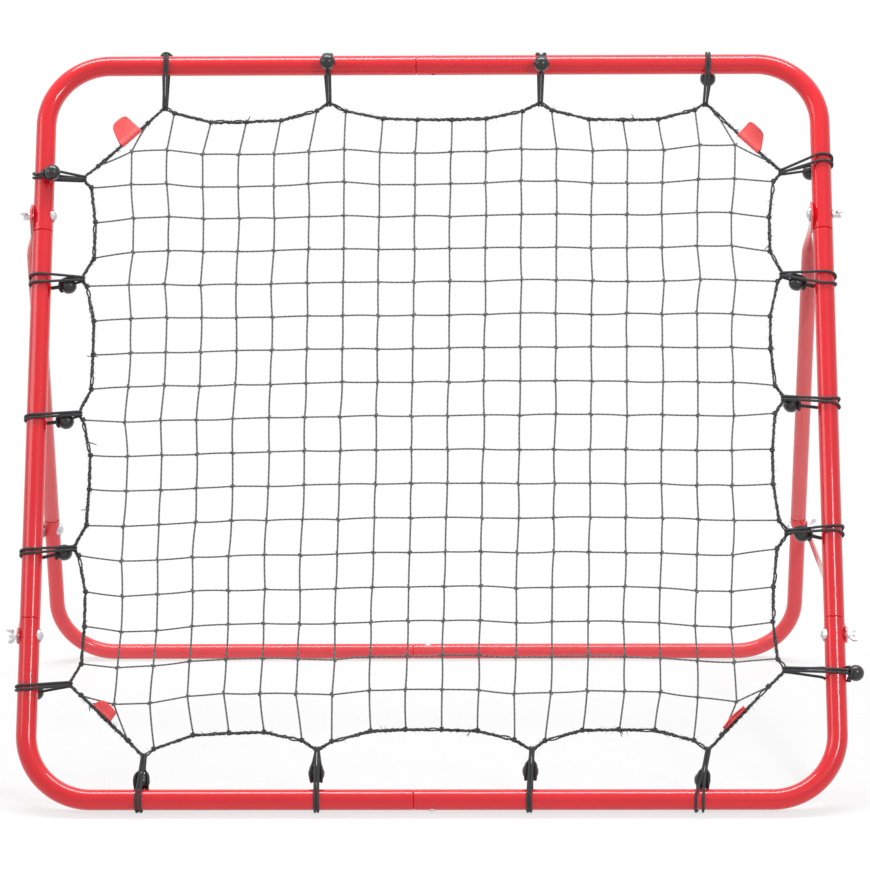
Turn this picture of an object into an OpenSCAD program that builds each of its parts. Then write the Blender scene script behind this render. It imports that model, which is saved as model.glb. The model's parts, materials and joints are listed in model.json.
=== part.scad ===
// Pitch back rebounder: a square net hung on elastic loops inside a leaning tube frame,
// held up by a second frame that is hinged to its sides and by two flat braces.
// Millimetres, +Z up. The floor is z = 0, the net faces -Y and X runs along the floor bars.

/* [Front frame] */
// Width between the centre lines of the side tubes
frame_w = 975; // [940:5:1010]
// Height along the slope, between the centre lines of the top and the floor bar
frame_h = 940; // [920:5:960]
// Lean of the front frame back from upright, in degrees
lean = 33.5; // [32:0.5:35]
// Outside diameter of the front tubes
tube_d = 25; // [24:0.5:26]
// Bend radius of the four corners
corner_r = 80; // [60:5:100]
// Distance of the side seams from the top bar and from the floor bar
side_seam = 221; // [200:1:240]

/* [Rear frame] */
// Distance of the rear floor bar behind the front one
rear_y = 510; // [490:5:530]
// Outside diameter of the rear tubes
rear_d = 20; // [19:0.5:21]
// Bend radius of the rear corners
rear_corner_r = 75; // [60:5:90]
// Distance of the leg seams from the rear floor bar
rear_seam = 200; // [190:1:215]

/* [Braces] */
// Height of the brace strip
brace_h = 12; // [10:1:14]
// Thickness of the brace strip
brace_t = 2; // [1.5:0.1:2]
// Diameter of the round eyes at its ends
eye_d = 20; // [18:1:22]

/* [Net and loops] */
// Thickness of the net twine
twine = 2.4; // [2:0.1:3]
// Diameter of the edge rope
rope_d = 5.5; // [5:0.1:6]
// Diameter of the elastic cord
cord_d = 3.8; // [3.4:0.1:4]
// Diameter of the balls
ball_d = 20; // [18:1:22]

/* [Hidden] */
$fn = 64;

red = [0.84, 0.16, 0.21];
zinc = [0.78, 0.79, 0.8];
dark = [0.1, 0.1, 0.11];
grey = [0.3, 0.31, 0.32];

// Tubes
wall = 1.2;
gap = 0.3;
swage_len = 45;
swage_play = 0.2;
bevel_from = 1.6;
bevel_to = 0.3;
bore_from = 5;
bore_to = 2;
drill_len = 40;
front_joint_x = -20;
front_screw_x = 1;
rear_joint_x = -16;
rear_screw_x = 3;
half_w = frame_w / 2;
tube_r = tube_d / 2;
rear_r = rear_d / 2;

// Pivot, brace bolts and the lean of the rear frame. The front floor bar stands on its loops.
cord_play = 0.45;
front_z = tube_r + cord_d + cord_play;
bolt_inset = 20;
rear_bolt_inset = 15;
pivot_w = frame_h - side_seam + bolt_inset;
front_bolt_w = side_seam - bolt_inset;
rear_bolt_v = rear_seam - rear_bolt_inset;
flat_t = 2 * wall;
flat_w = 31;
flat_below = 19;
flat_tip = 13;
flat_corner = 7.5;
round_below = 64;
bulge_below = 54;
bulge_tip = 11;
neck_r = rear_r - 0.05;
neck_steps = 8;
neck_inset = 0.1;
neck_sides = 24;
rear_shift = -(tube_r + gap + flat_t / 2);
pivot_y = pivot_w * sin(lean);
pivot_z = front_z + pivot_w * cos(lean);
rear_tilt = atan2(rear_y - pivot_y, pivot_z - rear_r);
leg_len = norm([rear_y - pivot_y, pivot_z - rear_r]);
front_bolt_y = front_bolt_w * sin(lean);
front_bolt_z = front_z + front_bolt_w * cos(lean);
rear_bolt_y = rear_y - rear_bolt_v * sin(rear_tilt);
rear_bolt_z = rear_r + rear_bolt_v * cos(rear_tilt);

// Bolts, washers and wing nuts
bolt_d = 6;
bolt_hole_d = 6.2;
head_r = 6.2;
head_h = 3.2;
saddle_r = 8;
saddle_seat = 1.4;
saddle_play = 0.1;
flat_washer_r = 9;
flat_washer_t = 1.6;
nut_base_r = 5;
nut_top_r = 4;
nut_h = 6.5;
nut_collar = 1.2;
wing_t = 2.2;
wing_shape = [
    [3.7, 2.6], [7.6, 3.4], [10.6, 5.8], [12, 8.6], [11.8, 10.6], [10.4, 11.8],
    [8.6, 11.4], [6.8, 9], [5.2, 6.2], [3.7, 6.2]
];
bolt_past_nut = 9;
// How far each wing nut is turned on its bolt
left_front_nut_turn = 35;
right_front_nut_turn = 50;
left_rear_nut_turn = 20;
right_rear_nut_turn = 65;
screw_d = 4;
screw_hole_d = 4.4;
screw_head_r = 3.5;
screw_head_h = 1.8;
screw_end_gap = 3;

// Braces: both lie outside their tubes, and step across by the shift of the rear frame
brace_len = norm([rear_bolt_y - front_bolt_y, rear_bolt_z - front_bolt_z]);
brace_rise = atan2(rear_bolt_z - front_bolt_z, rear_bolt_y - front_bolt_y);
brace_front_x = half_w + tube_r + gap + brace_t / 2;
brace_left_x = half_w - rear_shift + rear_r + gap + brace_t / 2;
brace_right_x = half_w + rear_shift + rear_r + gap + brace_t / 2;
eye_flat = 12;
left_bend_end = 195;
slot_w = 6.8;
slot_angle = 133;

// Net: straight twine lines, and an edge that sags inwards between the loops
net_lines = 16;
net_half_w = 377;
net_low = 118;
net_high = 822;
net_over = 85;
top_sag = 23;
bottom_sag = 25.5;
side_sag = 15;
sag_power = 4;
sag_steps = 6;

// Elastic loops. Each row: place on its tube, place on the net edge, reach from the tube to the
// edge, then the ball (along, outwards, forwards), how far its strands start beside it, the
// side of the tube on which the strands run to the net (1 front, -1 back), the distance
// between the two strands on the tube, and the hand of their turn round the net edge.
top_loops = [
    [-337, -338, 55.5, -339, 15.4, -18.2, 0, 1, 4.3, 1],
    [-134, -131, 50, -132.3, -5, 26.8, 0, -1, 6.4, 1],
    [137, 136, 51, 137.4, -9, 26.8, 0, -1, 6.4, 1],
    [348, 344, 52, 349.5, -9.8, -24.5, 0, 1, 4.3, -1]
];
bottom_loops = [
    [-350, -345, 51.5, -347.3, -23, -4, 0, 1, 7, 1],
    [-137, -137, 59.5, -137.7, -32.6, -4, 0, 1, 4.3, 1],
    [117, 121, 59.5, 119, -35, -4, 0, 1, 4.3, 1],
    [320, 332, 59, 324.8, -24.3, -4, 0, 1, 9, -1]
];
left_loops = [
    [135, 141, 49, 136.7, -6.6, -25.5, 0, 1, 5, 1],
    [304, 310, 49.5, 308.3, -37.6, -13, -8, 1, 5, 1],
    [475, 481, 51, 473, -35.9, -4, 0, 1, 4.3, 1],
    [654, 656, 49.5, 648.6, -34, -4, 0, 1, 10.5, 1],
    [796, 789, 47.5, 788.6, -12.6, 25, 0, -1, 7, -1]
];
right_loops = [
    [154, 158, 59.5, 153.5, 24, 2, 0, 1, 4.3, 1],
    [331, 329, 52.5, 327.9, -35.9, -4, -4, 1, 5, 1],
    [493, 499, 52.5, 495.5, -43.9, -14.5, -5, 1, 4.3, 1],
    [652, 659, 50.5, 650, -34.2, -4, -2, 1, 15, 1],
    [810, 795, 48.5, 803.1, -11.6, -23.7, 0, 1, 9, 1]
];
wrap_r = tube_r + cord_d / 2 + cord_play;
turn_r = (rope_d + cord_d) / 2 + 1.8;
turn_shift = 1.8;
wrap_steps = 9;
turn_steps = 9;
turn_from = 95;
turn_to = 445;
spread_rate = 1.6;
strand_gap = cord_d + 0.5;
ball_bore_d = 2 * cord_d + 1;
ball_bore_from = -0.5;
ball_bore_len = 12;
cord_past_ball = 1;
round_mesh = 6;

// Corner tabs: a short fabric strip folded round the edge rope
tab_len = 32;
tab_in_r = rope_d / 2 + 0.4;
tab_wall = 1.1;
tab_t = 2.2;
tab_reach = 28;
// Each row: the span of the edge it sits on, the share of the way along it, and the tilt of its
// free end, from pointing away from the net towards the front
upper_right_tab = [4, 0.44, 12];
upper_left_tab = [8, 0.4, 0];
lower_left_tab = [13, 0.45, 140];
lower_right_tab = [17, 0.4, 80];

// ---------- frames of reference ----------

// Front frame: x across, y up the slope, z forwards out of the net
module on_front() {
    translate([0, 0, front_z]) rotate([90 - lean, 0, 0]) children();
}

// Rear frame: x across, y up the leg, z forwards
module on_rear() {
    translate([rear_shift, rear_y, rear_r]) rotate([90 + rear_tilt, 0, 0]) children();
}

// Brace: x along it from the front bolt to the rear bolt, y up, z across the object
module on_brace() {
    translate([0, front_bolt_y, front_bolt_z]) rotate([brace_rise, 0, 0])
        rotate([90, 0, 90]) children();
}

// Turns +z to the outside: side is -1 on the left and 1 on the right
module outwards(side) {
    rotate([0, 90 * side, 0]) children();
}

// ---------- tubes ----------

module ring(d) {
    difference() {
        circle(d = d);
        circle(d = d - 2 * wall);
    }
}

// Tube from z = 0 to len, and beyond it the narrowed end that plugs into the next tube
module plug_tube(len, d) {
    r = d / 2;
    plug = r - wall - swage_play / 2;
    rotate_extrude() polygon([
        [r - wall, 0], [r, 0], [r, len - bevel_from], [plug, len - bevel_to],
        [plug, len + swage_len], [plug - wall, len + swage_len],
        [plug - wall, len - bore_to], [r - wall, len - bore_from]
    ]);
}

// Side tube with a narrowed end at both seams
module double_plug_tube(len, d) {
    r = d / 2;
    plug = r - wall - swage_play / 2;
    rotate_extrude() polygon([
        [plug, -swage_len], [plug, bevel_to], [r, bevel_from],
        [r, len - bevel_from], [plug, len - bevel_to],
        [plug, len + swage_len], [plug - wall, len + swage_len],
        [plug - wall, len - bore_to], [r - wall, len - bore_from],
        [r - wall, bore_from], [plug - wall, bore_to], [plug - wall, -swage_len]
    ]);
}

module open_tube(len, d) {
    linear_extrude(len) ring(d);
}

// Corner at the lower right of a frame whose bar lies on x and whose side lies on x = half_w.
// joint_x is where its bar ends; a plug goes on into the other half if plugged is true.
module corner_tube(d, bend_r, side_len, joint_x, plugged) {
    translate([half_w - bend_r, bend_r, 0]) rotate([0, 0, -90])
        rotate_extrude(angle = 90) translate([bend_r, 0]) ring(d);
    translate([half_w, bend_r, 0]) rotate([-90, 0, 0]) open_tube(side_len - bend_r, d);
    translate([half_w - bend_r, 0, 0]) rotate([0, -90, 0]) {
        if (plugged) plug_tube(half_w - bend_r - joint_x, d);
        if (!plugged) open_tube(half_w - bend_r - joint_x, d);
    }
}

module cross_hole(x, y, d) {
    translate([x - drill_len / 2, y, 0]) rotate([0, 90, 0]) cylinder(d = d, h = drill_len);
}

module bar_hole(x, y) {
    translate([x, y + drill_len / 2, 0]) rotate([90, 0, 0])
        cylinder(d = screw_hole_d, h = drill_len);
}

module front_corner(side, top) {
    plugged = side < 0;
    color(red) on_front() translate([0, top ? frame_h : 0, 0]) mirror([0, top ? 1 : 0, 0])
        difference() {
            mirror([side < 0 ? 1 : 0, 0, 0])
                corner_tube(tube_d, corner_r, side_seam, side * front_joint_x, plugged);
            cross_hole(side * half_w, front_bolt_w, bolt_hole_d);
            bar_hole(front_screw_x, 0);
        }
}

module side_tube(side) {
    color(red) on_front() difference() {
        translate([side * half_w, side_seam, 0]) rotate([-90, 0, 0])
            double_plug_tube(frame_h - 2 * side_seam, tube_d);
        cross_hole(side * half_w, front_bolt_w, bolt_hole_d);
        cross_hole(side * half_w, pivot_w, bolt_hole_d);
    }
}

module rear_corner(side) {
    color(red) on_rear() difference() {
        mirror([side < 0 ? 1 : 0, 0, 0])
            corner_tube(rear_d, rear_corner_r, rear_seam, side * rear_joint_x, side < 0);
        cross_hole(side * half_w, rear_bolt_v, bolt_hole_d);
        bar_hole(rear_screw_x, 0);
    }
}

// Where a leg passes from round to flat: ovals across y that grow wider as they grow thinner.
// The side that faces the front tube, +x, is flat over a greater length than the other one.
function share(y, from, to) = max(0, min(1, (y - from) / (to - from)));
function eased(f) = f * f * (3 - 2 * f);
module crushed_neck() {
    from = leg_len - round_below;
    to = leg_len - bulge_tip;
    flat_half = flat_t / 2 - neck_inset;
    points = [for (i = [0:neck_steps])
        let (y = from + (to - from) * i / neck_steps, f = share(y, from, leg_len - flat_below),
            near = neck_r + (flat_half - neck_r) * eased(f),
            far = neck_r + (flat_half - neck_r) * eased(share(y, leg_len - bulge_below, to)),
            wide = neck_r + (flat_w / 2 - neck_inset - neck_r) * f)
        for (k = [0:neck_sides - 1]) let (a = 360 * k / neck_sides)
            [(cos(a) > 0 ? near : far) * cos(a), y, wide * sin(a)]];
    sides = [for (i = [0:neck_steps - 1], k = [0:neck_sides - 1])
        let (a = i * neck_sides, b = a + neck_sides, l = (k + 1) % neck_sides)
        each [[a + k, a + l, b + l], [a + k, b + l, b + k]]];
    last = neck_steps * neck_sides;
    ends = [for (k = [1:neck_sides - 2])
        each [[0, k + 1, k], [last, last + k, last + k + 1]]];
    polyhedron(points = points, faces = concat(sides, ends));
}

// Rear leg: plugs into the corner below, and is crushed flat round the pivot bolt above
module rear_leg(side) {
    round_end = leg_len - round_below;
    flat_start = leg_len - flat_below;
    flat_end = leg_len + flat_tip;
    color(red) on_rear() difference() {
        translate([side * half_w, 0, 0]) {
            translate([0, round_end, 0]) rotate([90, 0, 0])
                plug_tube(round_end - rear_seam, rear_d);
            crushed_neck();
            translate([-flat_t / 2, 0, 0]) rotate([90, 0, 90]) linear_extrude(flat_t) polygon([
                [flat_start, -flat_w / 2], [flat_end - flat_corner, -flat_w / 2],
                [flat_end, flat_corner - flat_w / 2], [flat_end, flat_w / 2 - flat_corner],
                [flat_end - flat_corner, flat_w / 2], [flat_start, flat_w / 2]
            ]);
        }
        cross_hole(side * half_w, rear_bolt_v, bolt_hole_d);
        cross_hole(side * half_w, leg_len, bolt_hole_d);
    }
}

// ---------- fasteners ----------

// Domed head on the plane z = 0, rising to -z
module dome(r, h) {
    dome_r = (r * r + h * h) / (2 * h);
    mirror([0, 0, 1]) rotate_extrude() intersection() {
        translate([0, h - dome_r]) circle(r = dome_r);
        square([r, h]);
    }
}

// Bolt along +z: its head ends at z = 0
module bolt(len) {
    color(zinc) {
        dome(head_r, head_h);
        cylinder(d = bolt_d, h = len);
    }
}

// Curved washer under a bolt head, hollowed to sit on a tube whose axis is z = seat + r
module saddle_washer(d) {
    r = d / 2;
    foot = r - sqrt(r * r - saddle_r * saddle_r);
    color(zinc) difference() {
        cylinder(r = saddle_r, h = saddle_seat + foot);
        translate([0, drill_len / 2, saddle_seat + r]) rotate([90, 0, 0])
            cylinder(d = d + saddle_play, h = drill_len);
        translate([0, 0, -1]) cylinder(d = bolt_hole_d, h = saddle_seat + foot + 2);
    }
}

// Wing nut along +z from its base at z = 0
module wing_nut() {
    color(zinc) {
        rotate_extrude() polygon([
            [bolt_hole_d / 2, 0], [nut_base_r, 0], [nut_base_r, nut_collar],
            [nut_top_r, nut_h], [bolt_hole_d / 2, nut_h]
        ]);
        for (m = [0, 1]) mirror([m, 0, 0]) rotate([90, 0, 0]) translate([0, 0, -wing_t / 2])
            linear_extrude(wing_t) polygon(wing_shape);
    }
}

// Screw that holds a bar joint: its head sits on the tube and its shank ends inside
module joint_screw(r) {
    color(zinc) translate([0, r, 0]) rotate([90, 0, 0]) {
        dome(screw_head_r, screw_head_h);
        difference() {
            cylinder(r = screw_head_r, h = 1);
            translate([-screw_d * 2, 0, r]) rotate([0, 90, 0]) cylinder(r = r, h = screw_d * 4);
        }
        cylinder(d = screw_d, h = 2 * r - screw_end_gap);
    }
}

module pivot_place(side) {
    on_front() translate([side * half_w, pivot_w, 0]) outwards(side) children();
}

module front_brace_place(side) {
    on_front() translate([side * half_w, front_bolt_w, 0]) outwards(side) children();
}

module rear_brace_place(side) {
    on_rear() translate([side * half_w, rear_bolt_v, 0]) outwards(side) children();
}

left_nut_z = tube_r + gap + flat_t + gap;
right_nut_z = tube_r + gap;
front_nut_z = tube_r + gap + brace_t + gap;
rear_nut_z = rear_r + gap + brace_t + gap;
left_head_z = -(tube_r + saddle_seat);
right_head_z = -(tube_r + gap + flat_t + gap + flat_washer_t);
front_head_z = -(tube_r + saddle_seat);
rear_head_z = -(rear_r + saddle_seat);

module left_pivot_bolt() {
    pivot_place(-1) translate([0, 0, left_head_z]) bolt(left_nut_z - left_head_z + bolt_past_nut);
}

module right_pivot_bolt() {
    pivot_place(1) translate([0, 0, right_head_z])
        bolt(right_nut_z - right_head_z + bolt_past_nut);
}

module left_pivot_saddle_washer() {
    pivot_place(-1) translate([0, 0, left_head_z]) saddle_washer(tube_d);
}

module right_pivot_flat_washer() {
    color(zinc) pivot_place(1) translate([0, 0, right_head_z]) difference() {
        cylinder(r = flat_washer_r, h = flat_washer_t);
        translate([0, 0, -1]) cylinder(d = bolt_hole_d, h = flat_washer_t + 2);
    }
}

module front_brace_bolt(side) {
    front_brace_place(side) translate([0, 0, front_head_z])
        bolt(front_nut_z - front_head_z + bolt_past_nut);
}

module front_brace_saddle_washers() {
    for (side = [-1, 1])
        front_brace_place(side) translate([0, 0, front_head_z]) saddle_washer(tube_d);
}

module rear_brace_bolt(side) {
    rear_brace_place(side) translate([0, 0, rear_head_z])
        bolt(rear_nut_z - rear_head_z + bolt_past_nut);
}

module rear_brace_saddle_washers() {
    for (side = [-1, 1])
        rear_brace_place(side) translate([0, 0, rear_head_z]) saddle_washer(rear_d);
}

// ---------- braces ----------

// mid_line holds the points [along, across] of the strip's middle line, seen from above
module brace(mid_line) {
    n = len(mid_line);
    edge_out = [for (p = mid_line) [p[0], p[1] + brace_t / 2]];
    edge_in = [for (i = [0:n - 1]) mid_line[n - 1 - i] - [0, brace_t / 2]];
    color(red) on_brace() intersection() {
        translate([0, eye_d, 0]) rotate([90, 0, 0]) linear_extrude(2 * eye_d)
            polygon(concat(edge_out, edge_in));
        translate([0, 0, -brace_left_x - 20]) linear_extrude(2 * brace_left_x + 40) difference() {
            union() {
                circle(d = eye_d);
                translate([0, -brace_h / 2]) square([brace_len, brace_h]);
                translate([brace_len, 0]) circle(d = eye_d);
            }
            circle(d = bolt_hole_d);
            translate([brace_len, 0]) circle(d = slot_w);
            translate([brace_len, 0]) rotate([0, 0, slot_angle]) translate([0, -slot_w / 2])
                square([eye_d, slot_w]);
        }
    }
}

module left_brace() {
    brace([
        [-eye_d, -brace_front_x], [eye_flat, -brace_front_x],
        [left_bend_end, -brace_left_x], [brace_len + eye_d, -brace_left_x]
    ]);
}

module right_brace() {
    brace([
        [-eye_d, brace_front_x], [eye_flat, brace_front_x],
        [brace_len - eye_flat, brace_right_x], [brace_len + eye_d, brace_right_x]
    ]);
}

// ---------- net ----------

// Points of the net edge where a loop holds it, anticlockwise from the lower right
function right_pinch(l) = [half_w - l[2], l[1]];
function left_pinch(l) = [l[2] - half_w, l[1]];
function top_pinch(l) = [l[1], frame_h - l[2]];
function bottom_pinch(l) = [l[1], l[2]];
pinches = concat(
    [for (i = [0:4]) right_pinch(right_loops[i])],
    [for (i = [0:3]) top_pinch(top_loops[3 - i])],
    [for (i = [0:4]) left_pinch(left_loops[4 - i])],
    [for (i = [0:3]) bottom_pinch(bottom_loops[i])]
);
// Sag of the edge after each of them; it runs straight across the corners
sags = [
    side_sag, side_sag, side_sag, side_sag, 0, top_sag, top_sag, top_sag, 0,
    side_sag, side_sag, side_sag, side_sag, 0, bottom_sag, bottom_sag, bottom_sag, 0
];
function inward(a, b) = [a[1] - b[1], b[0] - a[0]] / norm(b - a);
function span_points(i) = let (a = pinches[i], b = pinches[(i + 1) % len(pinches)], s = sags[i])
    s == 0 ? [a] :
    [for (k = [0:sag_steps - 1]) let (f = k / sag_steps)
        a + (b - a) * f + inward(a, b) * s * (1 - pow(abs(2 * f - 1), sag_power))];
net_edge = [for (i = [0:len(pinches) - 1]) each span_points(i)];

function line_at(i, low, high) = low + (high - low) * i / (net_lines - 1);
function cell_lines(low, high) = concat(
    [low - net_over], [for (i = [0:net_lines - 1]) line_at(i, low, high)], [high + net_over]);

module net() {
    across = cell_lines(-net_half_w, net_half_w);
    up = cell_lines(net_low, net_high);
    color(grey) on_front() translate([0, 0, -twine / 2]) linear_extrude(twine) difference() {
        polygon(net_edge);
        for (i = [0:net_lines], j = [0:net_lines])
            translate([across[i] + twine / 2, up[j] + twine / 2])
                square([across[i + 1] - across[i] - twine, up[j + 1] - up[j] - twine]);
    }
}

// ---------- swept cords ----------

function unit(v) = v / norm(v);
function heading(path, i, closed) = let (n = len(path))
    closed ? unit(path[(i + 1) % n] - path[(i + n - 1) % n])
           : unit(path[min(i + 1, n - 1)] - path[max(i - 1, 0)]);

// Tube of round_mesh sides along path; its sides stay square to the direction across
module swept(path, r, across, closed = false) {
    n = len(path);
    m = round_mesh;
    spans = closed ? n : n - 1;
    points = [for (i = [0:n - 1])
        let (t = heading(path, i, closed), s = unit(cross(t, across)), q = cross(s, t))
        for (k = [0:m - 1]) path[i] + r * (cos(360 * k / m) * s + sin(360 * k / m) * q)];
    sides = [for (i = [0:spans - 1], k = [0:m - 1])
        let (a = i * m, b = ((i + 1) % n) * m, l = (k + 1) % m)
        each [[a + k, a + l, b + l], [a + k, b + l, b + k]]];
    ends = closed ? [] : [for (k = [1:m - 2])
        each [[0, k + 1, k], [(n - 1) * m, (n - 1) * m + k, (n - 1) * m + k + 1]]];
    polyhedron(points = points, faces = concat(sides, ends));
}

module edge_rope() {
    color(grey) on_front()
        swept([for (p = net_edge) [p[0], p[1], 0]], rope_d / 2, [0, 0, 1], closed = true);
}

// Loop geometry in (along, out, forward) about its own tube
function ball_at(l) = [l[3], l[4], l[5]];
function start_angle(l) = let (o = l[7] * l[5], d = norm([l[4], o]), a = atan2(o, l[4]))
    (a > 90 ? a - 360 : a) + acos(wrap_r / d);
function end_angle(l) = let (d = norm([l[2], turn_r]), a = atan2(turn_r, -l[2]))
    a - acos(wrap_r / d);
function on_wrap(l, angle, along) = [along, wrap_r * cos(angle), l[7] * wrap_r * sin(angle)];
function leave_point(l) = on_wrap(l, start_angle(l), l[3] + l[6]);
function ball_way(l) = unit(leave_point(l) - ball_at(l));
function strand(l, side) = let (a0 = start_angle(l), a1 = end_angle(l), half = strand_gap / 2)
    concat(
        [for (d = [1, ball_d / 2 + cord_past_ball]) ball_at(l) + ball_way(l) * d + [side * half, 0, 0]],
        [for (k = [0:wrap_steps]) let (f = k / wrap_steps, g = min(1, spread_rate * f))
            on_wrap(l, a0 + (a1 - a0) * f,
                (1 - g) * (l[3] + l[6] + side * half) + g * (l[0] + side * l[8] / 2))]
    );
function turn(l) = [for (k = [0:turn_steps])
    let (a = turn_from + (turn_to - turn_from) * k / turn_steps)
    [l[1] + l[9] * strand_gap / 2 * cos(180 * k / turn_steps),
     -l[2] - turn_shift + turn_r * cos(a), l[7] * turn_r * sin(a)]];
function backwards(path) = [for (i = [len(path) - 1:-1:0]) path[i]];
function loop_path(l) = concat(strand(l, l[9]), turn(l), backwards(strand(l, -l[9])));

function to_top(p) = [p[0], frame_h + p[1], p[2]];
function to_bottom(p) = [p[0], -p[1], p[2]];
function to_left(p) = [-half_w - p[1], p[0], p[2]];
function to_right(p) = [half_w + p[1], p[0], p[2]];

module loops(paths, along) {
    color(dark) on_front() for (path = paths) swept(path, cord_d / 2, along);
}

// Ball with a blind hole for the two cord ends; way is the direction of the hole
module ball(centre, way) {
    flat = norm([way[0], way[1]]);
    color(dark) translate(centre) rotate([0, 0, atan2(way[1], way[0])])
        rotate([0, atan2(flat, way[2]), 0]) difference() {
            sphere(d = ball_d);
            translate([0, 0, ball_bore_from]) cylinder(d = ball_bore_d, h = ball_bore_len);
        }
}

module top_bungee_cords() {
    loops([for (l = top_loops) [for (p = loop_path(l)) to_top(p)]], [1, 0, 0]);
}

module bottom_bungee_cords() {
    loops([for (l = bottom_loops) [for (p = loop_path(l)) to_bottom(p)]], [1, 0, 0]);
}

module left_bungee_cords() {
    loops([for (l = left_loops) [for (p = loop_path(l)) to_left(p)]], [0, 1, 0]);
}

module right_bungee_cords() {
    loops([for (l = right_loops) [for (p = loop_path(l)) to_right(p)]], [0, 1, 0]);
}

module top_bungee_balls() {
    on_front() for (l = top_loops) ball(to_top(ball_at(l)), to_top(ball_way(l)) - [0, frame_h, 0]);
}

module bottom_bungee_balls() {
    on_front() for (l = bottom_loops) ball(to_bottom(ball_at(l)), to_bottom(ball_way(l)));
}

module left_bungee_balls() {
    on_front() for (l = left_loops)
        ball(to_left(ball_at(l)), to_left(ball_way(l)) + [half_w, 0, 0]);
}

module right_bungee_balls() {
    on_front() for (l = right_loops)
        ball(to_right(ball_at(l)), to_right(ball_way(l)) - [half_w, 0, 0]);
}

// ---------- corner tabs ----------

// Strip folded round the rope between two loops
module corner_tab(row) {
    a = pinches[row[0]];
    b = pinches[(row[0] + 1) % len(pinches)];
    mid = a + (b - a) * row[1];
    color(red) on_front() translate([mid[0], mid[1], 0])
        rotate([0, 0, atan2(b[1] - a[1], b[0] - a[0]) - 90]) rotate([90, 0, 0])
        translate([0, 0, -tab_len / 2]) linear_extrude(tab_len) difference() {
            union() {
                circle(r = tab_in_r + tab_wall);
                rotate([0, 0, row[2]]) translate([0, -tab_t / 2]) square([tab_reach, tab_t]);
            }
            circle(r = tab_in_r);
        }
}

// ---------- the pieces ----------

front_corner(-1, true);  // upper_left_corner_tube
front_corner(1, true);  // upper_right_corner_tube
front_corner(-1, false);  // lower_left_corner_tube
front_corner(1, false);  // lower_right_corner_tube
side_tube(-1);  // left_side_tube
side_tube(1);  // right_side_tube
on_front() translate([front_screw_x, frame_h, 0]) joint_screw(tube_r);  // top_bar_screw
on_front() translate([front_screw_x, 0, 0]) mirror([0, 1, 0]) joint_screw(tube_r);  // front_floor_bar_screw
left_pivot_bolt();
right_pivot_bolt();
left_pivot_saddle_washer();
right_pivot_flat_washer();
front_brace_bolt(-1);  // left_front_brace_bolt
front_brace_bolt(1);  // right_front_brace_bolt
front_brace_saddle_washers();
net();
edge_rope();
top_bungee_cords();
bottom_bungee_cords();
left_bungee_cords();
right_bungee_cords();
top_bungee_balls();
bottom_bungee_balls();
left_bungee_balls();
right_bungee_balls();
corner_tab(upper_left_tab);  // upper_left_corner_tab
corner_tab(upper_right_tab);  // upper_right_corner_tab
corner_tab(lower_left_tab);  // lower_left_corner_tab
corner_tab(lower_right_tab);  // lower_right_corner_tab
rear_leg(-1);  // left_rear_leg
rear_leg(1);  // right_rear_leg
rear_corner(-1);  // rear_left_corner_tube
rear_corner(1);  // rear_right_corner_tube
on_rear() translate([rear_screw_x, 0, 0]) joint_screw(rear_r);  // rear_floor_bar_screw
rear_brace_bolt(-1);  // left_rear_brace_bolt
rear_brace_bolt(1);  // right_rear_brace_bolt
rear_brace_saddle_washers();
left_brace();
right_brace();
pivot_place(-1) translate([0, 0, left_nut_z]) wing_nut();  // left_pivot_wing_nut
pivot_place(1) translate([0, 0, right_nut_z]) wing_nut();  // right_pivot_wing_nut
front_brace_place(-1) translate([0, 0, front_nut_z]) rotate([0, 0, left_front_nut_turn])  // left_front_brace_wing_nut
        wing_nut();
front_brace_place(1) translate([0, 0, front_nut_z]) rotate([0, 0, right_front_nut_turn])  // right_front_brace_wing_nut
        wing_nut();
rear_brace_place(-1) translate([0, 0, rear_nut_z]) rotate([0, 0, left_rear_nut_turn])  // left_rear_brace_wing_nut
        wing_nut();
rear_brace_place(1) translate([0, 0, rear_nut_z]) rotate([0, 0, right_rear_nut_turn])  // right_rear_brace_wing_nut
        wing_nut();
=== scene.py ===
import json
import math
import random
from collections import namedtuple

import bpy
from mathutils import Matrix, Vector


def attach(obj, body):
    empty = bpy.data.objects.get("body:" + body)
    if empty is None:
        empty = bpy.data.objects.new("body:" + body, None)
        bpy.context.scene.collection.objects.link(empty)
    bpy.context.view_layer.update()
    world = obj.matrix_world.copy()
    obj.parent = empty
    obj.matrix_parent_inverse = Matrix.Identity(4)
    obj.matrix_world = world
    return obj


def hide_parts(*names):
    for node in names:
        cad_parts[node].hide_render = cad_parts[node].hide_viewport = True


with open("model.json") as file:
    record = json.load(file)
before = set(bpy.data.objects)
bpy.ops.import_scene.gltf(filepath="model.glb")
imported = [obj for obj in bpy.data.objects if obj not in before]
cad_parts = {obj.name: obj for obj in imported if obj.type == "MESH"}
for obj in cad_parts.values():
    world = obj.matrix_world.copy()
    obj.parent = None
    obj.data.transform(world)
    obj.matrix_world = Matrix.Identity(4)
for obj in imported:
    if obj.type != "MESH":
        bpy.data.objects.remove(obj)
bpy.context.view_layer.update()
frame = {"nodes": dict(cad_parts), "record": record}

# ---------------- sizes, in millimetres
MM = 0.001
LEAN = math.radians(33.5)
FRONT_Z = 16.75
HALF_W = 487.5
FRAME_H = 940.0
BALL_R = 10.0
CORD_R = 1.68
STRAND_GAP = 3.7
# Radii of the cord's middle line round a tube and round the rope, and its arc on the rope.
WRAP_R = 14.4
TURN_R = 4.1
TURN_SHIFT = 0.3
TURN_FROM = math.radians(95)
TURN_TO = math.radians(265)
ROPE_DRIFT = 0.15
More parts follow.
